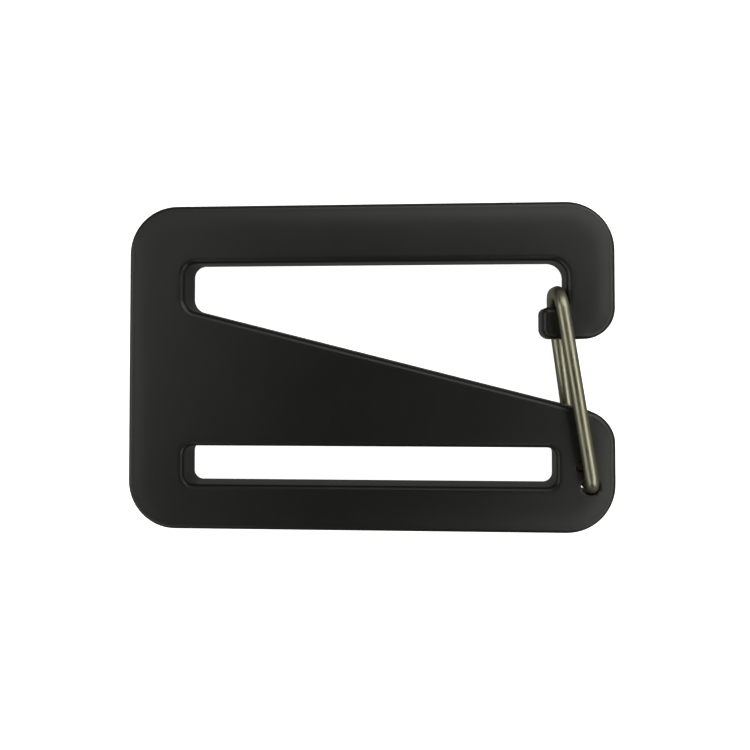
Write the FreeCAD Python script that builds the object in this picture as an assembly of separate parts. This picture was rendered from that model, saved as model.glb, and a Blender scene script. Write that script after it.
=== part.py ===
# Hook buckle for 38 mm webbing: a flat aluminium plate with a closed slot for the webbing
# that stays sewn in, a tapering hook opening above it, and a sprung wire gate that closes
# the hook's mouth. The gate is one bent wire. It straddles the plate, and each of its ends
# is turned into a hole of its own, so the wire twists a little at its U-bend as it opens.
# The wire is made as two halves that meet at the top of the U-bend, which is where it
# twists.
#
# Millimetres. The plate lies flat with its front face up: X runs along the slot towards
# the mouth, Y runs across the plate towards the hook's bar, and Z comes out of the front
# face. The origin is the centre of the plate, halfway through its thickness.

import FreeCAD, Part
import math
import os

# Plate
PLATE_LENGTH = 52.4
PLATE_WIDTH = 35.1
THICKNESS = 3.8
OUTER_CORNER = 5.2
EDGE_ROUND = 0.6

# Slot for the sewn webbing
SLOT_LENGTH = 40.0
SLOT_HEIGHT = 4.15
SLOT_CENTRE_Y = -10.63
SLOT_CORNER = 1.0
SLOT_ROUND = 0.5

# Hook opening: its lower side slopes down from the left end to the mouth
HOOK_LEFT = -20.05
HOOK_TOP = 11.22
SLOPE_DEG = 14.2
SLOPE_AT_CENTRE = 1.23
HOOK_TOP_LEFT_CORNER = 1.3
HOOK_LOW_LEFT_CORNER = 1.5
SHOULDER_CORNER = 3.4

# Nose: the hook's tip, with a barb that the gate's U-bend drops in behind
NOSE_INNER = 21.2
NOSE_OUTER = 26.3
NOSE_BOTTOM = 2.9
NOSE_TOP_CORNER = 1.7
NOSE_TIP_CORNER = 3.3
BARB_LEFT = 18.6
BARB_TOP = 6.3
BARB_TOP_CORNER = 0.7
BARB_LOW_CORNER = 1.1
NOTCH_CORNER = 0.6

# Gate wire
WIRE_DIAMETER = 1.4
WIRE_TO_PLATE = 0.2
FRONT_END_INSET = 0.1
BACK_END_INSET = 0.7
WIRE_END_BEVEL = 0.12
PIVOT_BEND = 1.1
TOP_BEND = 2.0
SEAM = 0.02
FRONT_PIVOT = FreeCAD.Vector(23.55, -12.5, 0.0)
BACK_PIVOT = FreeCAD.Vector(22.72, -10.42, 0.0)
GATE_APEX = FreeCAD.Vector(20.3, 7.9, 0.0)

# Pivot holes, looser than the wire, because the back end shifts as the gate swings. The
# front one goes through. The back one is drilled from behind, and only a small hole over
# the wire's end shows in front.
HOLE_RADIUS = 0.95
HOLE_BEVEL = 0.1
FRONT_HOLE = FreeCAD.Vector(23.45, -12.48, 0.0)
BACK_HOLE = FreeCAD.Vector(22.66, -10.34, 0.0)
BACK_HOLE_ROOF = 0.6
SIGHT_HOLE = FreeCAD.Vector(22.53, -10.5, 0.0)
SIGHT_HOLE_RADIUS = 0.5

HALF_THICKNESS = THICKNESS / 2.0
LEG_HEIGHT = HALF_THICKNESS + WIRE_TO_PLATE + WIRE_DIAMETER / 2.0


def corner_arc(before, corner, after, radius):
    """Return the arc that rounds one corner of an outline."""
    to_before = (before - corner).normalize()
    to_after = (after - corner).normalize()
    half_angle = to_before.getAngle(to_after) / 2.0
    bisector = (to_before + to_after).normalize()
    reach = radius / math.tan(half_angle)
    middle = corner + bisector * (radius / math.sin(half_angle) - radius)
    return Part.Arc(corner + to_before * reach, middle, corner + to_after * reach).toShape()


def rounded_face(corners):
    """Return the flat face inside an outline, given as (x, y, corner radius) in order."""
    points = [FreeCAD.Vector(x, y, 0.0) for x, y, _ in corners]
    arcs = []
    for index, (_, _, radius) in enumerate(corners):
        following = points[(index + 1) % len(points)]
        arcs.append(corner_arc(points[index - 1], points[index], following, radius))
    edges = []
    for index, arc in enumerate(arcs):
        start = arcs[index - 1].lastVertex().Point
        edges.append(Part.LineSegment(start, arc.firstVertex().Point).toShape())
        edges.append(arc)
    return Part.Face(Part.Wire(edges))


def slab(face):
    """Return a flat face thickened to the plate's thickness, centred on Z = 0."""
    thick = face.extrude(FreeCAD.Vector(0.0, 0.0, THICKNESS))
    thick.translate(FreeCAD.Vector(0.0, 0.0, -HALF_THICKNESS))
    return thick


def face_edges(solid, inside):
    """Return the edges on the two broad faces whose middle passes a test."""
    found = []
    for edge in solid.Edges:
        box = edge.BoundBox
        on_face = box.ZLength < 1e-6 and abs(abs(box.Center.z) - HALF_THICKNESS) < 1e-6
        if on_face and inside(edge.CenterOfMass):
            found.append(edge)
    return found


def slope_y(x):
    """Return the height of the hook opening's sloping side at x."""
    return SLOPE_AT_CENTRE - math.tan(math.radians(SLOPE_DEG)) * x


def hook_face():
    """Return the plate's outline, which runs in through the mouth and round the opening."""
    right = PLATE_LENGTH / 2.0
    top = PLATE_WIDTH / 2.0
    return rounded_face([
        (-right, -top, OUTER_CORNER),
        (right, -top, OUTER_CORNER),
        (right, slope_y(right), SHOULDER_CORNER),
        (HOOK_LEFT, slope_y(HOOK_LEFT), HOOK_LOW_LEFT_CORNER),
        (HOOK_LEFT, HOOK_TOP, HOOK_TOP_LEFT_CORNER),
        (NOSE_INNER, HOOK_TOP, NOSE_TOP_CORNER),
        (NOSE_INNER, BARB_TOP, NOTCH_CORNER),
        (BARB_LEFT, BARB_TOP, BARB_TOP_CORNER),
        (BARB_LEFT, NOSE_BOTTOM, BARB_LOW_CORNER),
        (NOSE_OUTER, NOSE_BOTTOM, NOSE_TIP_CORNER),
        (NOSE_OUTER, top, OUTER_CORNER),
        (-right, top, OUTER_CORNER),
    ])


def slot_face():
    """Return the outline of the webbing slot."""
    half_length = SLOT_LENGTH / 2.0
    low = SLOT_CENTRE_Y - SLOT_HEIGHT / 2.0
    high = SLOT_CENTRE_Y + SLOT_HEIGHT / 2.0
    return rounded_face([
        (-half_length, low, SLOT_CORNER),
        (half_length, low, SLOT_CORNER),
        (half_length, high, SLOT_CORNER),
        (-half_length, high, SLOT_CORNER),
    ])


def make_plate():
    """Return the plate: rounded outline, rounded slot and two bevelled pivot holes."""
    plate = slab(hook_face())
    plate = plate.makeFillet(EDGE_ROUND, face_edges(plate, lambda point: True))

    plate = plate.cut(slab(slot_face()))
    margin = SLOT_HEIGHT / 2.0 + SLOT_ROUND

    def by_slot(point):
        beside = abs(point.x) < SLOT_LENGTH / 2.0 + SLOT_ROUND
        return beside and abs(point.y - SLOT_CENTRE_Y) < margin

    plate = plate.makeFillet(SLOT_ROUND, face_edges(plate, by_slot))

    for centre, radius, top in (
        (FRONT_HOLE, HOLE_RADIUS, THICKNESS),
        (BACK_HOLE, HOLE_RADIUS, HALF_THICKNESS - BACK_HOLE_ROOF),
        (SIGHT_HOLE, SIGHT_HOLE_RADIUS, THICKNESS),
    ):
        foot = centre - FreeCAD.Vector(0.0, 0.0, THICKNESS)
        plate = plate.cut(Part.makeCylinder(radius, THICKNESS + top, foot))

    def by_holes(point):
        flat = FreeCAD.Vector(point.x, point.y, 0.0)
        return min((flat - FRONT_HOLE).Length, (flat - BACK_HOLE).Length) < HOLE_RADIUS

    return plate.makeChamfer(HOLE_BEVEL, face_edges(plate, by_holes))


def make_gate_half(pivot, side, end_inset):
    """Return half of the gate wire, in front of the plate (side 1) or behind it (side -1).

    Its line is a turned-in end, the bend onto the leg, the leg, the bend over the top and
    half of the short straight run that crosses the plate's thickness.
    """
    along = GATE_APEX - pivot
    length = along.Length
    along.normalize()

    def point(distance, height):
        return pivot + along * distance + FreeCAD.Vector(0.0, 0.0, side * height)

    pivot_inset = PIVOT_BEND * (1.0 - math.sqrt(0.5))
    top_inset = TOP_BEND * (1.0 - math.sqrt(0.5))
    end = point(0.0, end_inset - HALF_THICKNESS)
    pivot_bend_low = point(0.0, LEG_HEIGHT - PIVOT_BEND)
    pivot_bend_middle = point(pivot_inset, LEG_HEIGHT - pivot_inset)
    leg_start = point(PIVOT_BEND, LEG_HEIGHT)
    leg_end = point(length - TOP_BEND, LEG_HEIGHT)
    top_bend_middle = point(length - top_inset, LEG_HEIGHT - top_inset)
    top_bend_low = point(length, LEG_HEIGHT - TOP_BEND)
    seam = point(length, SEAM / 2.0)

    line = Part.Wire([
        Part.LineSegment(end, pivot_bend_low).toShape(),
        Part.Arc(pivot_bend_low, pivot_bend_middle, leg_start).toShape(),
        Part.LineSegment(leg_start, leg_end).toShape(),
        Part.Arc(leg_end, top_bend_middle, top_bend_low).toShape(),
        Part.LineSegment(top_bend_low, seam).toShape(),
    ])
    section = Part.Wire([Part.makeCircle(WIRE_DIAMETER / 2.0, end)])
    wire = line.makePipe(Part.Face(section))
    rim = [edge for edge in wire.Edges
           if edge.BoundBox.ZLength < 1e-6 and abs(edge.CenterOfMass.z - end.z) < 1e-6]
    return wire.makeChamfer(WIRE_END_BEVEL, rim)


def make_parts():
    """Return every sub-part by its node name."""
    return {
        "plate": make_plate(),
        "gate_wire_front_half": make_gate_half(FRONT_PIVOT, 1.0, FRONT_END_INSET),
        "gate_wire_back_half": make_gate_half(BACK_PIVOT, -1.0, BACK_END_INSET),
    }


os.makedirs("parts", exist_ok=True)
for name, shape in make_parts().items():
    shape.exportStep(os.path.join("parts", name + ".step"))
    print(name, "valid", shape.isValid(), "solids", len(shape.Solids),
          "volume", round(shape.Volume, 2), "mm3")
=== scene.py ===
"""Looks of a hook buckle for webbing: a flat black plate and the sprung wire gate of its hook.

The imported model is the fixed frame. The plate and the two halves of the gate wire are modelled
here at the frame's own sizes, and each one rides on the body that it belongs to.
"""

import logging
import math
from collections.abc import Callable
from dataclasses import dataclass, field
from enum import Enum

import bmesh
import bpy
from mathutils import Euler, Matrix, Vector


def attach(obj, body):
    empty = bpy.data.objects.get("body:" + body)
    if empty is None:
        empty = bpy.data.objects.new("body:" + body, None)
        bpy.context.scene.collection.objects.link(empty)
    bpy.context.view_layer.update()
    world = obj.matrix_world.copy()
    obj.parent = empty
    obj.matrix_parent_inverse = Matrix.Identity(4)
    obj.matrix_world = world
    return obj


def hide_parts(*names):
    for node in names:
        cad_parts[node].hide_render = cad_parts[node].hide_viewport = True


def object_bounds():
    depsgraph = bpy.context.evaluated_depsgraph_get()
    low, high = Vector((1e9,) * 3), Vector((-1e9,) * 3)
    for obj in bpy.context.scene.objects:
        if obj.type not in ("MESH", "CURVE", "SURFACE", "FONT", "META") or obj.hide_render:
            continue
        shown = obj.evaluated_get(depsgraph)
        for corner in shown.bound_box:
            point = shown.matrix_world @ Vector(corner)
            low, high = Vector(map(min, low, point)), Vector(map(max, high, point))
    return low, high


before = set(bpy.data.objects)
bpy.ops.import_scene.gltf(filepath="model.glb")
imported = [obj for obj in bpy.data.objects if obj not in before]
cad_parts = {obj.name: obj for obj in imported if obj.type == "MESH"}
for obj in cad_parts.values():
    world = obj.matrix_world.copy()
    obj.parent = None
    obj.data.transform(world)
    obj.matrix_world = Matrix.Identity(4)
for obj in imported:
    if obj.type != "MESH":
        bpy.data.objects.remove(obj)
cad_low, cad_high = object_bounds()

MM = 0.001
SAME_PLACE = 0.001 * MM
UP = Vector((0.0, 0.0, 1.0))
ACROSS = Vector((1.0, 0.0, 0.0))
ALONG = Vector((0.0, 1.0, 0.0))
UNSCALED = Vector((1.0, 1.0, 1.0))
QUARTER_TURN = math.radians(90.0)

# How much of a face's normal lies along Z: at most for a wall, and at least for a broad face and
# for the part of a broad face that is still flat.
WALL_STEEPNESS = 0.1
FACE_STEEPNESS = 0.99
FLAT_STEEPNESS = 0.999

log = logging.getLogger("hook_buckle")


class GateSide(Enum):
    """Which face of the plate a half of the gate lies on; the value is the sign of its Z."""

    FRONT = 1.0
    BACK = -1.0


class Slot(Enum):
    """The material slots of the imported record."""

    PLATE = "black_anodised_aluminium"
    WIRE = "spring_wire"


# Modelling


@dataclass
class Workpiece:
    """A mesh under work, with the edit tools that the pieces here need.

    The tools act on what is picked, and everything is picked by its place or its direction.
    """

    obj: bpy.types.Object

    @staticmethod
    def clear_bench() -> None:
        """Leave edit mode and deselect everything."""
        if bpy.context.mode != "OBJECT":
            bpy.ops.object.mode_set(mode="OBJECT")
        bpy.ops.object.select_all(action="DESELECT")

    @classmethod
    def sheet(cls, name: str, low: Vector, high: Vector) -> "Workpiece":
        """Lay down a flat rectangular sheet.

        Args:
            name: The new object's name.
            low: The sheet's lowest corner; its Z is the sheet's height.
            high: The sheet's highest corner.

        Returns:
            The sheet, in edit mode.
        """
        cls.clear_bench()
        centre = (low + high) / 2.0
        centre.z = low.z
        bpy.ops.mesh.primitive_plane_add(size=1.0, location=centre)
        return cls._begin(name, Vector((high.x - low.x, high.y - low.y, 1.0)))

    @classmethod
    def block(cls, name: str, size: Vector, centre: Vector) -> "Workpiece":
        """Set down a rectangular block.

        Args:
            name: The new object's name.
            size: Its length along X, Y and Z.
            centre: Its middle.

        Returns:
            The block, in edit mode.
        """
        cls.clear_bench()
        bpy.ops.mesh.primitive_cube_add(size=1.0, location=centre)
        return cls._begin(name, size)

    @classmethod
    def rod(
        cls, name: str, radius: float, height: float, centre: Vector, sides: int
    ) -> "Workpiece":
        """Set up a round rod along Z.

        Args:
            name: The new object's name.
            radius: Its radius.
            height: Its length along Z.
            centre: Its middle.
            sides: How many flats stand for its roundness.

        Returns:
            The rod, in edit mode.
        """
        cls.clear_bench()
        bpy.ops.mesh.primitive_cylinder_add(
            vertices=sides, radius=radius, depth=height, location=centre
        )
        return cls._begin(name, UNSCALED)

    @classmethod
    def ring(cls, name: str, radius: float, centre: Vector, sides: int) -> "Workpiece":
        """Lay down a flat open ring of edges.

        Args:
            name: The new object's name.
            radius: Its radius.
            centre: Its middle.
            sides: How many edges it has.

        Returns:
            The ring, in edit mode.
        """
        cls.clear_bench()
        bpy.ops.mesh.primitive_circle_add(vertices=sides, radius=radius, location=centre)
        return cls._begin(name, UNSCALED)

    @classmethod
    def _begin(cls, name: str, scale: Vector) -> "Workpiece":
        """Name the new primitive, size it, put its place into its mesh and open it for editing.

        Args:
            name: The object's name.
            scale: The scale to put into its mesh.

        Returns:
            The piece, in edit mode with nothing picked.
        """
        piece = cls(bpy.context.active_object)
        piece.obj.name = name
        piece.obj.data.name = name
        piece.obj.scale = scale
        bpy.ops.object.transform_apply(location=True, rotation=True, scale=True)
        bpy.ops.object.mode_set(mode="EDIT")
        bpy.ops.mesh.select_all(action="DESELECT")
        return piece

    def pick_all(self) -> None:
        """Pick the whole mesh."""
        bpy.ops.mesh.select_all(action="SELECT")

    def pick_points(self, wanted: Callable[[Vector], bool]) -> None:
        """Pick points.

        Args:
            wanted: The test that a point's place passes.
        """
        mesh = self._fresh_pick("VERT")
        for point in mesh.verts:
            point.select_set(wanted(point.co))
        self._settle(mesh)

    def pick_edges(self, wanted: Callable[[bmesh.types.BMEdge], bool]) -> None:
        """Pick edges.

        Args:
            wanted: The test that an edge passes.
        """
        mesh = self._fresh_pick("EDGE")
        for edge in mesh.edges:
            edge.select_set(wanted(edge))
        self._settle(mesh)

    def pick_faces(self, wanted: Callable[[Vector], bool]) -> None:
        """Pick faces.

        Args:
            wanted: The test that a face's centre passes.
        """
        mesh = self._fresh_pick("FACE")
        for face in mesh.faces:
            face.select_set(wanted(face.calc_center_median()))
        self._settle(mesh)

    def _fresh_pick(self, kind: str) -> bmesh.types.BMesh:
        """Drop what is picked, and get ready to pick elements of one kind.

        Args:
            kind: VERT, EDGE or FACE.

        Returns:
            The mesh under edit, with its normals up to date.
        """
        bpy.ops.mesh.select_mode(type=kind)
        bpy.ops.mesh.select_all(action="DESELECT")
        mesh = bmesh.from_edit_mesh(self.obj.data)
        mesh.normal_update()
        return mesh

    def _settle(self, mesh: bmesh.types.BMesh) -> None:
        """Write the picks back to the mesh."""
        mesh.select_flush_mode()
        bmesh.update_edit_mesh(self.obj.data)

    def drop_points_on_straights(self, straight_deg: float = 179.0) -> None:
        """Dissolve the points of a sheet's outline that aren't corners.

        Args:
            straight_deg: The angle from which two edges are one straight.
        """
        mesh = self._fresh_pick("VERT")
        for point in mesh.verts:
            first, second = (edge.other_vert(point).co - point.co for edge in point.link_edges)
            point.select_set(first.angle(second) > math.radians(straight_deg))
        self._settle(mesh)
        bpy.ops.mesh.dissolve_verts()

    def cut(self, place: Vector, normal: Vector, drop_beyond: bool = False) -> None:
        """Cut what is picked with a plane.

        Args:
            place: A point on the plane.
            normal: The plane's direction.
            drop_beyond: Whether what lies on the normal's side is cut away.
        """
        bpy.ops.mesh.bisect(plane_co=place, plane_no=normal, clear_outer=drop_beyond)

    def round_corners(self, reach: float, segments: int) -> None:
        """Round the picked corner points of a sheet.

        Args:
            reach: How far along each edge the rounding starts.
            segments: How many edges it has.
        """
        bpy.ops.mesh.bevel(
            offset=reach, offset_type="OFFSET", affect="VERTICES", segments=segments, profile=0.5,
            clamp_overlap=False,
        )

    def round_edges(self, radius: float, segments: int) -> None:
        """Round the picked edges.

        Args:
            radius: The rounding's radius.
            segments: How many strips of faces it has.
        """
        bpy.ops.mesh.bevel(
            offset=radius, offset_type="OFFSET", affect="EDGES", segments=segments, profile=0.5,
            clamp_overlap=False, loop_slide=False, miter_outer="SHARP",
        )

    def extend(self, step: Vector) -> None:
        """Extrude what is picked by a step."""
        bpy.ops.mesh.extrude_region_move(TRANSFORM_OT_translate={"value": step})

    def bend(self, centre: Vector, axis: Vector, angle: float, steps: int) -> None:
        """Extrude what is picked round an axis.

        Args:
            centre: A point on the axis.
            axis: The axis's direction.
            angle: How far it turns, in radians.
            steps: How many extrusions make the turn.
        """
        bpy.ops.mesh.spin(steps=steps, angle=angle, center=centre, axis=axis, dupli=False)

    def sink(self, step: Vector, reach: float) -> None:
        """Shift what is picked, and what lies near it less and less.

        Args:
            step: The shift of what is picked.
            reach: How far the shift fades out to.
        """
        bpy.ops.transform.translate(
            value=step, use_proportional_edit=True, proportional_edit_falloff="SHARP",
            proportional_size=reach,
        )

    def subtract(self, cutter: "Workpiece") -> None:
        """Take a cutter's solid away from this one, and throw the cutter away.

        Args:
            cutter: The solid to take away.
        """
        self.clear_bench()
        bpy.context.view_layer.objects.active = self.obj
        self.obj.select_set(True)
        cut = self.obj.modifiers.new("cut", "BOOLEAN")
        cut.operation = "DIFFERENCE"
        cut.solver = "EXACT"
        cut.object = cutter.obj
        bpy.ops.object.modifier_apply(modifier=cut.name)
        bpy.data.objects.remove(cutter.obj)
        bpy.ops.object.mode_set(mode="EDIT")

    def finish(
        self, smooth_below_deg: float = 40.0, merge_below: float = 0.0005 * MM
    ) -> bpy.types.Object:
        """Close the work: faces point outwards, and the shading is smooth with flat broad faces.

        Args:
            smooth_below_deg: Faces that meet at less than this angle are shaded as one.
            merge_below: Points nearer to each other than this are merged.

        Returns:
            The finished object, at the origin.
        """
        bpy.ops.mesh.select_mode(type="VERT")
        self.pick_all()
        bpy.ops.mesh.remove_doubles(threshold=merge_below)
        self.pick_all()
        bpy.ops.mesh.normals_make_consistent(inside=False)
        self.clear_bench()
        bpy.context.view_layer.objects.active = self.obj
        self.obj.select_set(True)
        bpy.ops.object.shade_smooth_by_angle(angle=math.radians(smooth_below_deg))
        weighted = self.obj.modifiers.new("flat broad faces", "WEIGHTED_NORMAL")
        weighted.keep_sharp = True
        bpy.ops.object.modifier_apply(modifier=weighted.name)
        self.clear_bench()
        return self.obj


# Finishes


class NodeBoard:
    """A material's node tree, with short calls for adding and wiring nodes."""

    # The colour mix node gives several of its sockets the same name, so they go by number.
    MIX_SHARE, MIX_FIRST, MIX_SECOND, MIX_RESULT = 0, 6, 7, 2

    def __init__(self, name: str) -> None:
        """Start a material of that name with one Principled shader."""
        self.material = bpy.data.materials.new(name)
        self.material.use_nodes = True
        self.tree = self.material.node_tree
        self.shader = self.tree.nodes["Principled BSDF"]

    def add(self, kind: str, **settings: object) -> bpy.types.Node:
        """Add a node.

        Args:
            kind: The node's type.
            **settings: Its properties, by name.

        Returns:
            The node.
        """
        node = self.tree.nodes.new(kind)
        for name, value in settings.items():
            setattr(node, name, value)
        return node

    def wire(self, source: bpy.types.NodeSocket, target: bpy.types.NodeSocket) -> None:
        """Join an output to an input."""
        self.tree.links.new(source, target)

    def noise(
        self, place: bpy.types.NodeSocket, scale: float, detail: float, roughness: float = 0.5
    ) -> bpy.types.NodeSocket:
        """Add a noise pattern.

        Args:
            place: The coordinates that it reads.
            scale: Its scale, in features per metre.
            detail: How many finer octaves it holds.
            roughness: How strong the finer octaves are.

        Returns:
            The pattern's value.
        """
        node = self.add("ShaderNodeTexNoise")
        node.inputs["Scale"].default_value = scale
        node.inputs["Detail"].default_value = detail
        node.inputs["Roughness"].default_value = roughness
        self.wire(place, node.inputs["Vector"])
        return node.outputs["Fac"]

    def spread(
        self, value: bpy.types.NodeSocket, low: float, high: float,
        from_low: float = 0.3, from_high: float = 0.7,
    ) -> bpy.types.NodeSocket:
        """Map one range of values to another.

        Args:
            value: The value to map.
            low: What the range's low end becomes.
            high: What its high end becomes.
            from_low: The range's low end. Unless given, it is a noise pattern's middle range.
            from_high: Its high end.

        Returns:
            The mapped value, kept between low and high.
        """
        node = self.add("ShaderNodeMapRange")
        node.inputs["From Min"].default_value = from_low
        node.inputs["From Max"].default_value = from_high
        node.inputs["To Min"].default_value = low
        node.inputs["To Max"].default_value = high
        self.wire(value, node.inputs["Value"])
        return node.outputs["Result"]

    def tint(self, value: bpy.types.NodeSocket, dark: tuple, light: tuple) -> bpy.types.NodeSocket:
        """Turn a value into a colour.

        Args:
            value: A value from 0 to 1.
            dark: The colour at 0.
            light: The colour at 1.

        Returns:
            The colour.
        """
        node = self.add("ShaderNodeValToRGB")
        node.color_ramp.elements[0].color = (*dark, 1.0)
        node.color_ramp.elements[1].color = (*light, 1.0)
        self.wire(value, node.inputs["Fac"])
        return node.outputs["Color"]

    def blend(
        self, share: bpy.types.NodeSocket, first: tuple, second: bpy.types.NodeSocket
    ) -> bpy.types.NodeSocket:
        """Blend from a fixed colour to a varying one.

        Args:
            share: The share of the second colour, from 0 to 1.
            first: The fixed colour.
            second: The varying colour.

        Returns:
            The blended colour.
        """
        node = self.add("ShaderNodeMix", data_type="RGBA")
        node.inputs[self.MIX_FIRST].default_value = (*first, 1.0)
        self.wire(share, node.inputs[self.MIX_SHARE])
        self.wire(second, node.inputs[self.MIX_SECOND])
        return node.outputs[self.MIX_RESULT]

    def bump(
        self, height: bpy.types.NodeSocket, depth: float, strength: float
    ) -> bpy.types.NodeSocket:
        """Add a bump.

        Args:
            height: The pattern that stands up.
            depth: The height of the full pattern, in metres.
            strength: How much of it shows.

        Returns:
            The bumped normal.
        """
        node = self.add("ShaderNodeBump")
        node.inputs["Strength"].default_value = strength
        node.inputs["Distance"].default_value = depth
        self.wire(height, node.inputs["Height"])
        return node.outputs["Normal"]


@dataclass(frozen=True)
class BlastedBlack:
    """Black anodising over bead-blasted aluminium: satin, very slightly mottled."""

    deep: tuple = (0.0086, 0.0088, 0.0080)
    pale: tuple = (0.0102, 0.0104, 0.0094)
    roughness_low: float = 0.37
    roughness_high: float = 0.40
    mottle_per_metre: float = 160.0
    mottle_octaves: float = 5.0
    mottle_fineness: float = 0.6
    grain_per_metre: float = 9000.0
    grain_octaves: float = 3.0
    grain_fineness: float = 0.6
    grain_depth: float = 0.012 * MM
    grain_strength: float = 0.35
    index: float = 1.5

    def make(self) -> bpy.types.Material:
        """Return the finish as a material."""
        board = NodeBoard("blasted_black_anodising")
        place = board.add("ShaderNodeTexCoord").outputs["Object"]
        mottle = board.noise(
            place, self.mottle_per_metre, self.mottle_octaves, self.mottle_fineness
        )
        grain = board.noise(place, self.grain_per_metre, self.grain_octaves, self.grain_fineness)
        shade = board.spread(mottle, 0.0, 1.0)
        board.wire(board.tint(shade, self.deep, self.pale), board.shader.inputs["Base Color"])
        gloss = board.spread(mottle, self.roughness_low, self.roughness_high)
        board.wire(gloss, board.shader.inputs["Roughness"])
        bumped = board.bump(grain, self.grain_depth, self.grain_strength)
        board.wire(bumped, board.shader.inputs["Normal"])
        board.shader.inputs["IOR"].default_value = self.index
        return board.material


@dataclass(frozen=True)
class DrawnWire:
    """Hard-drawn nickel-plated spring wire: faint lines run along it, and its cut ends are coloured
    darker and browner.
    """

    dull: tuple = (0.31, 0.295, 0.22)
    clear: tuple = (0.44, 0.425, 0.325)
    cut_end: tuple = (0.22, 0.17, 0.14)
    cut_end_depth: float = 0.15 * MM
    roughness_low: float = 0.34
    roughness_high: float = 0.46
    lines_per_metre: float = 6000.0
    line_octaves: float = 4.0
    line_fineness: float = 0.65
    line_stretch: float = 0.02
    line_depth: float = 0.004 * MM
    line_strength: float = 0.15
    patches_per_metre: float = 900.0
    patch_octaves: float = 3.0
    blank_attribute: str = "wire_blank"

    def make(self) -> bpy.types.Material:
        """Return the finish as a material, laid out by each point's place on the straight wire."""
        board = NodeBoard("drawn_nickel_wire")
        marks = board.add("ShaderNodeAttribute", attribute_name=self.blank_attribute)
        blank = marks.outputs["Vector"]
        stretch = board.add("ShaderNodeMapping")
        stretch.inputs["Scale"].default_value = (1.0, 1.0, self.line_stretch)
        board.wire(blank, stretch.inputs["Vector"])
        lines = board.noise(
            stretch.outputs["Vector"], self.lines_per_metre, self.line_octaves, self.line_fineness
        )
        patches = board.noise(blank, self.patches_per_metre, self.patch_octaves)
        colour = board.tint(board.spread(lines, 0.0, 1.0), self.dull, self.clear)
        split = board.add("ShaderNodeSeparateXYZ")
        board.wire(blank, split.inputs["Vector"])
        # The first cut_end_depth along the wire, the turned-in end's face and its bevel, is
        # coloured darker and browner.
        drawn = board.spread(split.outputs["Z"], 0.0, 1.0, 0.0, self.cut_end_depth)
        board.wire(board.blend(drawn, self.cut_end, colour), board.shader.inputs["Base Color"])
        gloss = board.spread(patches, self.roughness_low, self.roughness_high)
        board.wire(gloss, board.shader.inputs["Roughness"])
        bumped = board.bump(lines, self.line_depth, self.line_strength)
        board.wire(bumped, board.shader.inputs["Normal"])
        board.shader.inputs["Metallic"].default_value = 1.0
        return board.material


@dataclass(frozen=True)
class PaleTable:
    """A pale table that glows, so that shadows on it stay faint."""

    colour: tuple = (0.9, 0.9, 0.9)
    glow: float = 1.0

    def make(self) -> bpy.types.Material:
        """Return the finish as a material."""
        board = NodeBoard("pale_table")
        board.shader.inputs["Base Color"].default_value = (*self.colour, 1.0)
        board.shader.inputs["Roughness"].default_value = 1.0
        board.shader.inputs["Emission Color"].default_value = (1.0, 1.0, 1.0, 1.0)
        board.shader.inputs["Emission Strength"].default_value = self.glow
        return board.material


@dataclass(frozen=True)
class DarkCard:
    """Matt black card."""

    colour: tuple = (0.002, 0.002, 0.002)

    def make(self) -> bpy.types.Material:
        """Return the finish as a material."""
        board = NodeBoard("dark_card")
        board.shader.inputs["Base Color"].default_value = (*self.colour, 1.0)
        board.shader.inputs["Roughness"].default_value = 1.0
        board.shader.inputs["Specular IOR Level"].default_value = 0.0
        return board.material


# The buckle


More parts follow.
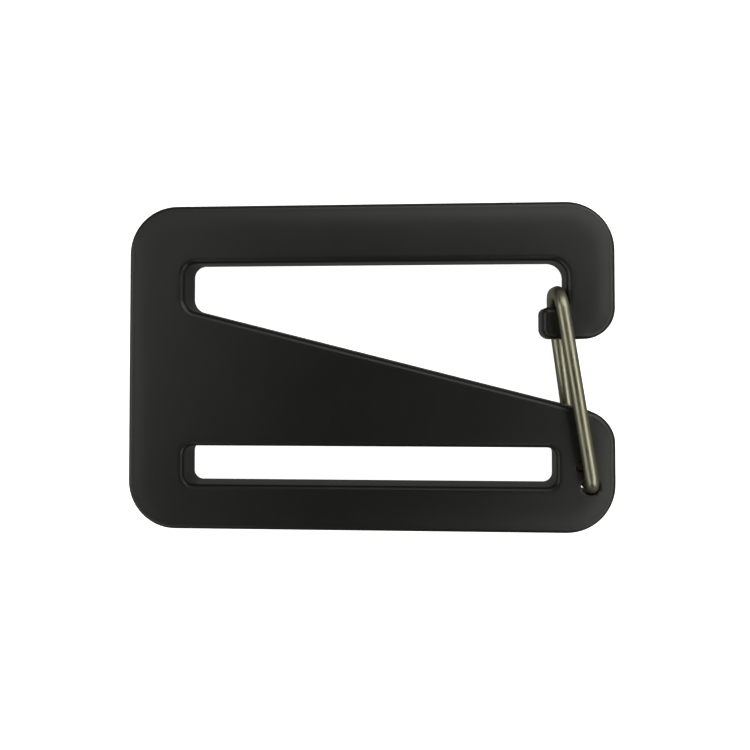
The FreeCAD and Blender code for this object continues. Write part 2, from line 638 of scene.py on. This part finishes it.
@dataclass
class HookPlate:
    """The plate: a webbing slot below, and above it the tapering opening and nose of the hook."""

    finish: BlastedBlack
    left: float = -26.2 * MM
    right: float = 26.2 * MM
    width: float = 35.1 * MM
    thickness: float = 3.8 * MM
    outer_corner: float = 5.2 * MM
    edge_round: float = 0.6 * MM

    hook_left: float = -20.05 * MM
    hook_top: float = 11.22 * MM
    slope_deg: float = 14.2
    slope_at_centre: float = 1.23 * MM
    hook_top_left_corner: float = 1.3 * MM
    hook_low_left_corner: float = 1.5 * MM
    shoulder_corner: float = 3.4 * MM

    nose_inner: float = 21.2 * MM
    nose_outer: float = 26.3 * MM
    nose_bottom: float = 2.9 * MM
    nose_top_corner: float = 1.7 * MM
    nose_tip_corner: float = 3.3 * MM
    barb_left: float = 18.6 * MM
    barb_top: float = 6.3 * MM
    barb_top_corner: float = 0.7 * MM
    barb_low_corner: float = 1.1 * MM
    notch_corner: float = 0.6 * MM

    slot_size: Vector = field(default_factory=lambda: Vector((40.0, 4.15, 5.7)) * MM)
    slot_centre: Vector = field(default_factory=lambda: Vector((0.0, -10.63, 0.0)) * MM)
    slot_corner: float = 1.0 * MM
    slot_corner_segments: int = 12
    slot_round: float = 0.5 * MM
    rim_segments: int = 8

    crown_width: float = 1.9 * MM
    crown_drop: float = 0.10 * MM
    crown_grid: float = 0.5 * MM

    front_hole: Vector = field(default_factory=lambda: Vector((23.45, -12.48, 0.0)) * MM)
    back_hole: Vector = field(default_factory=lambda: Vector((22.66, -10.34, 0.0)) * MM)
    back_hole_roof: float = 0.6 * MM
    sight_hole: Vector = field(default_factory=lambda: Vector((22.53, -10.5, 0.0)) * MM)
    sight_hole_radius: float = 0.5 * MM
    hole_radius: float = 0.95 * MM
    hole_bevel: float = 0.1 * MM
    hole_bevel_segments: int = 2
    hole_sides: int = 40
    drill_overshoot: float = 1.5
    face_band: float = 0.3 * MM
    slack: float = 1.002

    def slope_y(self, x: float) -> float:
        """Return the height of the opening's sloping side at x."""
        return self.slope_at_centre - math.tan(math.radians(self.slope_deg)) * x

    def cut_outline(self) -> Workpiece:
        """Cut the plate's outline, with the hook's opening and mouth, out of a flat sheet.

        Returns:
            The sheet, with sharp corners.
        """
        top = self.width / 2.0
        back = -self.thickness / 2.0
        low = Vector((self.left, -top, back))
        sheet = Workpiece.sheet("plate", low, Vector((self.nose_outer, top, back)))
        slope = math.radians(self.slope_deg)
        below_slope = Vector((math.sin(slope), math.cos(slope), 0.0))

        def in_taper(place: Vector) -> bool:
            """Tell whether a place is between the slope and the opening's top side."""
            return self.slope_y(place.x) < place.y < self.hook_top

        sheet.pick_all()
        sheet.cut(Vector((0.0, self.hook_top, back)), ALONG)
        sheet.pick_faces(lambda place: place.y < self.hook_top)
        sheet.cut(Vector((0.0, self.slope_at_centre, back)), below_slope)
        for x in (self.hook_left, self.barb_left, self.nose_inner):
            sheet.pick_faces(in_taper)
            sheet.cut(Vector((x, 0.0, back)), ACROSS)
        for y in (self.nose_bottom, self.barb_top):
            sheet.pick_faces(lambda place: in_taper(place) and place.x > self.barb_left)
            sheet.cut(Vector((0.0, y, back)), ALONG)

        def is_open(place: Vector) -> bool:
            """Tell whether a place is in the opening or the mouth, and not in the barb."""
            if not in_taper(place) or place.x < self.hook_left:
                return False
            in_barb = self.nose_bottom < place.y < self.barb_top
            if place.x > self.nose_inner:
                return place.y < self.nose_bottom
            return place.x < self.barb_left or not in_barb

        sheet.pick_faces(is_open)
        bpy.ops.mesh.delete(type="FACE")
        sheet.pick_faces(lambda place: place.y < self.slope_y(place.x))
        sheet.cut(Vector((self.right, 0.0, back)), ACROSS, drop_beyond=True)
        sheet.pick_edges(lambda edge: len(edge.link_faces) == 2)
        bpy.ops.mesh.dissolve_edges(use_verts=False)
        sheet.drop_points_on_straights()
        return sheet

    def round_outline(self, sheet: Workpiece) -> None:
        """Round every corner of the outline to its own radius.

        Args:
            sheet: The plate's flat outline.
        """
        top = self.width / 2.0
        tilt = math.radians(self.slope_deg)

        # Each corner's place, its radius, how much wider than square it is, and its segments.
        corners = (
            (self.left, -top, self.outer_corner, 0.0, 20),
            (self.right, -top, self.outer_corner, 0.0, 20),
            (self.right, self.slope_y(self.right), self.shoulder_corner, tilt, 16),
            (self.hook_left, self.slope_y(self.hook_left), self.hook_low_left_corner, tilt, 12),
            (self.hook_left, self.hook_top, self.hook_top_left_corner, 0.0, 12),
            (self.nose_inner, self.hook_top, self.nose_top_corner, 0.0, 12),
            (self.nose_inner, self.barb_top, self.notch_corner, 0.0, 8),
            (self.barb_left, self.barb_top, self.barb_top_corner, 0.0, 12),
            (self.barb_left, self.nose_bottom, self.barb_low_corner, 0.0, 12),
            (self.nose_outer, self.nose_bottom, self.nose_tip_corner, 0.0, 16),
            (self.nose_outer, top, self.outer_corner, 0.0, 20),
            (self.left, top, self.outer_corner, 0.0, 20),
        )
        near = 10.0 * SAME_PLACE
        for x, y, radius, opened, segments in corners:
            corner = Vector((x, y, -self.thickness / 2.0))
            sheet.pick_points(lambda place, corner=corner: (place - corner).length < near)
            reach = radius / math.tan((QUARTER_TURN + opened) / 2.0)
            sheet.round_corners(reach, segments)

    def is_rim(self, edge: bmesh.types.BMEdge) -> bool:
        """Tell whether an edge lies between a broad face and a wall.

        Args:
            edge: The edge to test.

        Returns:
            True if it does.
        """
        if len(edge.link_faces) != 2:
            return False
        steep = sorted(abs(face.normal.z) for face in edge.link_faces)
        return steep[0] < WALL_STEEPNESS and steep[1] > FACE_STEEPNESS

    def thicken(self, sheet: Workpiece) -> None:
        """Give the sheet its thickness, and round its rims.

        Args:
            sheet: The plate's flat outline, with its corners rounded.
        """
        sheet.pick_all()
        sheet.extend(UP * self.thickness)
        sheet.pick_all()
        bpy.ops.mesh.normals_make_consistent(inside=False)
        sheet.pick_edges(self.is_rim)
        sheet.round_edges(self.edge_round, self.rim_segments)

    def cut_slot(self, plate: Workpiece) -> None:
        """Cut the webbing slot, and round its rims.

        Args:
            plate: The plate, without its slot.
        """
        cutter = Workpiece.block("slot cutter", self.slot_size, self.slot_centre)
        cutter.pick_edges(lambda edge: abs(edge.verts[0].co.z - edge.verts[1].co.z) > SAME_PLACE)
        cutter.round_edges(self.slot_corner, self.slot_corner_segments)
        plate.subtract(cutter)
        half = self.slot_size / 2.0 * self.slack

        def on_slot(edge: bmesh.types.BMEdge) -> bool:
            """Tell whether an edge is on the slot's rim."""
            middle = (edge.verts[0].co + edge.verts[1].co) / 2.0 - self.slot_centre
            return abs(middle.x) < half.x and abs(middle.y) < half.y and self.is_rim(edge)

        plate.pick_edges(on_slot)
        plate.round_edges(self.slot_round, self.rim_segments)

    def crown_faces(self, plate: Workpiece) -> None:
        """Let both broad faces fall away softly towards the outline, as tumbling leaves them.

        Args:
            plate: The plate, with its rims rounded.
        """
        top = self.width / 2.0
        for normal, low, high in ((ACROSS, self.left, self.nose_outer), (ALONG, -top, top)):
            for step in range(1, int((high - low) / self.crown_grid)):
                plate.pick_all()
                plate.cut(normal * (low + step * self.crown_grid), normal)

        def by_outline(place: Vector) -> bool:
            """Tell whether a place is near the plate's outline, and not by an opening."""
            inset = min(place.x - self.left, self.right - place.x, top - abs(place.y))
            return inset < self.outer_corner / 2.0

        for side in GateSide:
            level = side.value * self.thickness / 2.0

            def on_outline(edge: bmesh.types.BMEdge, level: float = level) -> bool:
                """Tell whether an edge is where a broad face meets the outline's rounding."""
                ends = [point.co for point in edge.verts]
                flat = all(abs(end.z - level) < SAME_PLACE and by_outline(end) for end in ends)
                steepest = min(abs(face.normal.z) for face in edge.link_faces)
                return flat and steepest < FLAT_STEEPNESS

            plate.pick_edges(on_outline)
            plate.sink(UP * -side.value * self.crown_drop, self.crown_width)

    def drill_holes(self, plate: Workpiece) -> None:
        """Drill the holes for the gate wire's ends, and break their edges.

        Args:
            plate: The plate, without its holes.
        """
        half = self.thickness / 2.0
        beyond = self.drill_overshoot * half
        for centre, radius, top in (
            (self.front_hole, self.hole_radius, beyond),
            (self.back_hole, self.hole_radius, half - self.back_hole_roof),
            (self.sight_hole, self.sight_hole_radius, beyond),
        ):
            middle = centre + UP * (top - beyond) / 2.0
            plate.subtract(Workpiece.rod("drill", radius, top + beyond, middle, self.hole_sides))

        def on_hole(edge: bmesh.types.BMEdge) -> bool:
            """Tell whether an edge is on a hole's rim in a broad face."""
            middle = (edge.verts[0].co + edge.verts[1].co) / 2.0
            reach = min((middle - hole).xy.length for hole in (self.front_hole, self.back_hole))
            in_face = abs(middle.z) > half - self.face_band
            return reach < self.hole_radius * self.slack and in_face and self.is_rim(edge)

        plate.pick_edges(on_hole)
        plate.round_edges(self.hole_bevel, self.hole_bevel_segments)

    def build(self) -> bpy.types.Object:
        """Model the plate, dress it and let it ride on its body.

        Returns:
            The finished plate.
        """
        plate = self.cut_outline()
        self.round_outline(plate)
        self.thicken(plate)
        self.cut_slot(plate)
        self.crown_faces(plate)
        self.drill_holes(plate)
        obj = plate.finish()
        obj.name = "hook_plate"
        obj.data.materials.append(self.finish.make())
        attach(obj, "plate")
        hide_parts("plate")
        return obj


@dataclass
class GateWire:
    """One half of the gate wire: a turned-in end, the leg, and half of the bend over the top."""

    finish: DrawnWire
    side: GateSide
    pivot: Vector
    end_depth: float
    apex: Vector = field(default_factory=lambda: Vector((20.3, 7.9, 0.0)) * MM)
    radius: float = 0.7 * MM
    leg_height: float = 2.8 * MM
    end_bevel: float = 0.12 * MM
    pivot_bend: float = 1.1 * MM
    top_bend: float = 2.0 * MM
    pivot_bend_steps: int = 14
    leg_steps: int = 4
    top_bend_steps: int = 20
    end_bevel_segments: int = 3
    sides: int = 48

    @property
    def along(self) -> Vector:
        """The leg's direction, from its pivot to the top."""
        return (self.apex - self.pivot).normalized()

    @property
    def length(self) -> float:
        """The distance from the pivot to the top."""
        return (self.apex - self.pivot).length

    @property
    def outward(self) -> Vector:
        """The direction away from the plate on this half's side."""
        return UP * self.side.value

    def draw(self) -> Workpiece:
        """Run the wire's round section along its line, from the turned-in end to the middle.

        Returns:
            The open tube.
        """
        foot = self.pivot - self.outward * self.end_depth
        wire = Workpiece.ring("wire", self.radius, foot, self.sides)
        wire.pick_all()
        wire.extend(self.outward * (self.end_depth + self.leg_height - self.pivot_bend))
        axis = self.along.cross(self.outward)
        low_rise = self.outward * (self.leg_height - self.pivot_bend)
        wire.bend(
            self.pivot + self.along * self.pivot_bend + low_rise, axis, QUARTER_TURN,
            self.pivot_bend_steps,
        )
        leg = self.length - self.pivot_bend - self.top_bend
        for _ in range(self.leg_steps):
            wire.extend(self.along * leg / self.leg_steps)
        top_rise = self.outward * (self.leg_height - self.top_bend)
        wire.bend(
            self.apex - self.along * self.top_bend + top_rise, axis, QUARTER_TURN,
            self.top_bend_steps,
        )
        wire.extend(-top_rise)
        return wire

    def close_ends(self, wire: Workpiece) -> None:
        """Cap both ends, and break the edge of the turned-in one.

        Args:
            wire: The open tube.
        """
        wire.pick_all()
        bpy.ops.mesh.fill_holes(sides=self.sides)
        wire.pick_all()
        bpy.ops.mesh.normals_make_consistent(inside=False)
        depth = -self.side.value * self.end_depth

        def on_end(edge: bmesh.types.BMEdge) -> bool:
            """Tell whether an edge is on the turned-in end's rim."""
            return all(abs(point.co.z - depth) < SAME_PLACE for point in edge.verts)

        wire.pick_edges(on_end)
        wire.round_edges(self.end_bevel, self.end_bevel_segments)

    def unrolled(self, place: Vector) -> Vector:
        """Find where a point of the bent wire was on the straight wire.

        Args:
            place: A point of the finished wire.

        Returns:
            Its place across the wire (X, Y) and along it (Z).
        """
        offset = place - self.pivot
        along, height = offset.dot(self.along), offset.dot(self.outward)
        sideways = offset.dot(self.along.cross(UP))
        low_run = self.end_depth + self.leg_height - self.pivot_bend
        low_arc = self.pivot_bend * QUARTER_TURN
        leg = self.length - self.pivot_bend - self.top_bend
        if along < self.pivot_bend:
            rise = height - (self.leg_height - self.pivot_bend)
            if rise < 0.0:
                return Vector((-along, sideways, self.end_depth + height))
            run = self.pivot_bend - along
            out = math.hypot(rise, run) - self.pivot_bend
            return Vector((out, sideways, low_run + math.atan2(rise, run) * self.pivot_bend))
        if along < self.pivot_bend + leg:
            travelled = low_run + low_arc + along - self.pivot_bend
            return Vector((height - self.leg_height, sideways, travelled))
        start = low_run + low_arc + leg
        rise = height - (self.leg_height - self.top_bend)
        run = along - (self.length - self.top_bend)
        if rise < 0.0:
            travelled = start + self.top_bend * QUARTER_TURN - rise
            return Vector((run - self.top_bend, sideways, travelled))
        out = math.hypot(rise, run) - self.top_bend
        return Vector((out, sideways, start + math.atan2(run, rise) * self.top_bend))

    def mark_blank(self, obj: bpy.types.Object) -> None:
        """Write each point's place on the straight wire, for the finish to follow.

        Args:
            obj: The finished wire.
        """
        marks = obj.data.attributes.new(self.finish.blank_attribute, "FLOAT_VECTOR", "POINT")
        for point, mark in zip(obj.data.vertices, marks.data):
            mark.vector = self.unrolled(point.co)

    def build(self) -> bpy.types.Object:
        """Model this half, dress it and let it ride on its body.

        Returns:
            The finished half.
        """
        word = self.side.name.lower()
        wire = self.draw()
        self.close_ends(wire)
        obj = wire.finish()
        obj.name = f"gate_wire_{word}"
        self.mark_blank(obj)
        obj.data.materials.append(self.finish.make())
        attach(obj, f"gate_{word}")
        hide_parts(f"gate_wire_{word}_half")
        return obj


# The studio


@dataclass(frozen=True)
class Softbox:
    """A soft square lamp that isn't seen itself."""

    name: str
    bearing_deg: float
    lean_deg: float
    power: float
    distance: float = 0.6
    size: float = 0.325
    colour: tuple = (1.0, 1.0, 0.93)

    def build(self) -> bpy.types.Object:
        """Hang the lamp at its bearing, leaning from straight above, turned towards the buckle.

        Returns:
            The lamp.
        """
        lamp = bpy.data.lights.new(self.name, "AREA")
        lamp.shape = "SQUARE"
        lamp.size = self.size
        lamp.energy = self.power
        lamp.color = self.colour
        obj = bpy.data.objects.new(self.name, lamp)
        bpy.context.scene.collection.objects.link(obj)
        bearing, lean = math.radians(self.bearing_deg), math.radians(self.lean_deg)
        flat = Vector((math.cos(bearing), math.sin(bearing), 0.0)) * math.sin(lean)
        away = flat + UP * math.cos(lean)
        obj.location = away * self.distance
        obj.rotation_euler = away.to_track_quat("Z", "Y").to_euler()
        obj.visible_camera = False
        return obj


@dataclass
class Studio:
    """The pale table and backdrop, the dark card, the lamps, the room's light and the camera."""

    room_radius: float = 2.0
    backdrop_segments: int = 48
    camera_place: Vector = field(default_factory=lambda: Vector((8.24, 2.19, 70.6)) * MM)
    camera_tilt_deg: tuple = (1.31, 2.87, -0.18)
    lens: float = 31.0
    sensor_width: float = 36.0
    shift: tuple = (-0.0492, -0.0582)
    sees_from: float = 2.0 * MM
    sees_to: float = 20.0
    card_behind: float = 4.0 * MM
    card_size: tuple = (0.100, 0.076)
    room_side: float = 0.15
    room_below: float = 0.17
    room_tint: tuple = (1.0, 1.0, 0.93)
    below_until: float = 0.47
    side_band: tuple = (0.52, 0.60)
    dark_from: float = 0.72

    def keep_off(self, obj: bpy.types.Object) -> None:
        """Dress a piece of the studio that is seen but doesn't light the buckle.

        Args:
            obj: The piece.
        """
        obj.data.materials.append(PaleTable().make())
        obj.visible_glossy = False
        obj.visible_diffuse = False
        obj.visible_shadow = False

    def lay_table(self) -> None:
        """Lay the table at the buckle's lowest point, with a pale backdrop all round it."""
        Workpiece.clear_bench()
        foot = Vector((0.0, 0.0, cad_low.z))
        bpy.ops.mesh.primitive_plane_add(size=2.0 * self.room_radius, location=foot)
        bpy.context.active_object.name = "table"
        self.keep_off(bpy.context.active_object)
        bpy.ops.mesh.primitive_uv_sphere_add(
            segments=self.backdrop_segments, ring_count=self.backdrop_segments // 2,
            radius=self.room_radius,
        )
        bpy.context.active_object.name = "backdrop"
        bpy.ops.object.shade_smooth()
        self.keep_off(bpy.context.active_object)

    def hold_dark_card(self) -> None:
        """Hold a dark card just behind the camera, for the plate's face to reflect."""
        Workpiece.clear_bench()
        place = self.camera_place + UP * self.card_behind
        bpy.ops.mesh.primitive_plane_add(size=1.0, location=place)
        card = bpy.context.active_object
        card.name = "dark_card"
        card.scale = (*self.card_size, 1.0)
        bpy.ops.object.transform_apply(location=False, rotation=False, scale=True)
        card.data.materials.append(DarkCard().make())
        card.visible_camera = False

    def light_room(self) -> None:
        """Light the room dimly from the sides and below, and leave it dark above.

        The light's places on the ramp go from 0, straight below, to 1, straight above.
        """
        world = bpy.data.worlds.new("room")
        bpy.context.scene.world = world
        world.use_nodes = True
        nodes, links = world.node_tree.nodes, world.node_tree.links
        place = nodes.new("ShaderNodeTexCoord").outputs["Generated"]
        split = nodes.new("ShaderNodeSeparateXYZ")
        links.new(place, split.inputs["Vector"])
        height = nodes.new("ShaderNodeMapRange")
        height.inputs["From Min"].default_value = -1.0
        height.inputs["From Max"].default_value = 1.0
        links.new(split.outputs["Z"], height.inputs["Value"])
        ramp = nodes.new("ShaderNodeValToRGB")
        stops = ramp.color_ramp.elements
        side, below = ((*(level * part for part in self.room_tint), 1.0)
                       for level in (self.room_side, self.room_below))
        dark = (0.0, 0.0, 0.0, 1.0)
        stops[0].color = below
        stops[1].color = dark
        side_from, side_to = self.side_band
        for place_up, colour in (
            (self.below_until, below), (side_from, side), (side_to, side), (self.dark_from, dark)
        ):
            stops.new(place_up).color = colour
        links.new(height.outputs["Result"], ramp.inputs["Fac"])
        links.new(ramp.outputs["Color"], nodes["Background"].inputs["Color"])

    def hang_lamps(self) -> None:
        """Hang the softboxes round the buckle, the strongest to its right."""
        for lamp in (
            Softbox("high_right_lamp", 60.0, 25.0, 0.3),
            Softbox("high_left_lamp", 120.0, 25.0, 0.3),
            Softbox("right_lamp", 0.0, 40.0, 0.8),
            Softbox("top_right_lamp", 45.0, 40.0, 0.5),
            Softbox("top_lamp", 90.0, 40.0, 0.5),
            Softbox("left_lamp", 180.0, 40.0, 0.2),
            Softbox("low_right_lamp", 315.0, 40.0, 0.6),
            Softbox("side_top_right_lamp", 45.0, 60.0, 0.6),
            Softbox("side_left_lamp", 180.0, 60.0, 0.6),
            Softbox("side_low_left_lamp", 225.0, 60.0, 0.4),
            Softbox("side_low_right_lamp", 315.0, 60.0, 0.3),
        ):
            lamp.build()

    def set_camera(self) -> bpy.types.Object:
        """Set up the camera above the plate.

        Returns:
            The camera.
        """
        lens = bpy.data.cameras.new("camera")
        lens.lens = self.lens
        lens.sensor_width = self.sensor_width
        lens.shift_x, lens.shift_y = self.shift
        lens.clip_start, lens.clip_end = self.sees_from, self.sees_to
        camera = bpy.data.objects.new("camera", lens)
        bpy.context.scene.collection.objects.link(camera)
        camera.location = self.camera_place
        camera.rotation_mode = "ZYX"
        camera.rotation_euler = Euler([math.radians(turn) for turn in self.camera_tilt_deg], "ZYX")
        bpy.context.scene.camera = camera
        return camera

    def build(self) -> None:
        """Set up the whole studio."""
        self.lay_table()
        self.hold_dark_card()
        self.light_room()
        self.hang_lamps()
        self.set_camera()
        bpy.context.scene.view_settings.view_transform = "Standard"


def main() -> None:
    """Build the buckle and its studio, and report each piece."""
    logging.basicConfig(level=logging.INFO, format="%(name)s: %(message)s")
    wire_finish = DrawnWire()
    makers = (
        HookPlate(BlastedBlack()),
        GateWire(wire_finish, GateSide.FRONT, Vector((23.55, -12.5, 0.0)) * MM, 1.8 * MM),
        GateWire(wire_finish, GateSide.BACK, Vector((22.72, -10.42, 0.0)) * MM, 1.2 * MM),
    )
    for maker in makers:
        piece = maker.build()
        log.info("%s: %d faces", piece.name, len(piece.data.polygons))
    Studio().build()


if __name__ == "__main__":
    main()
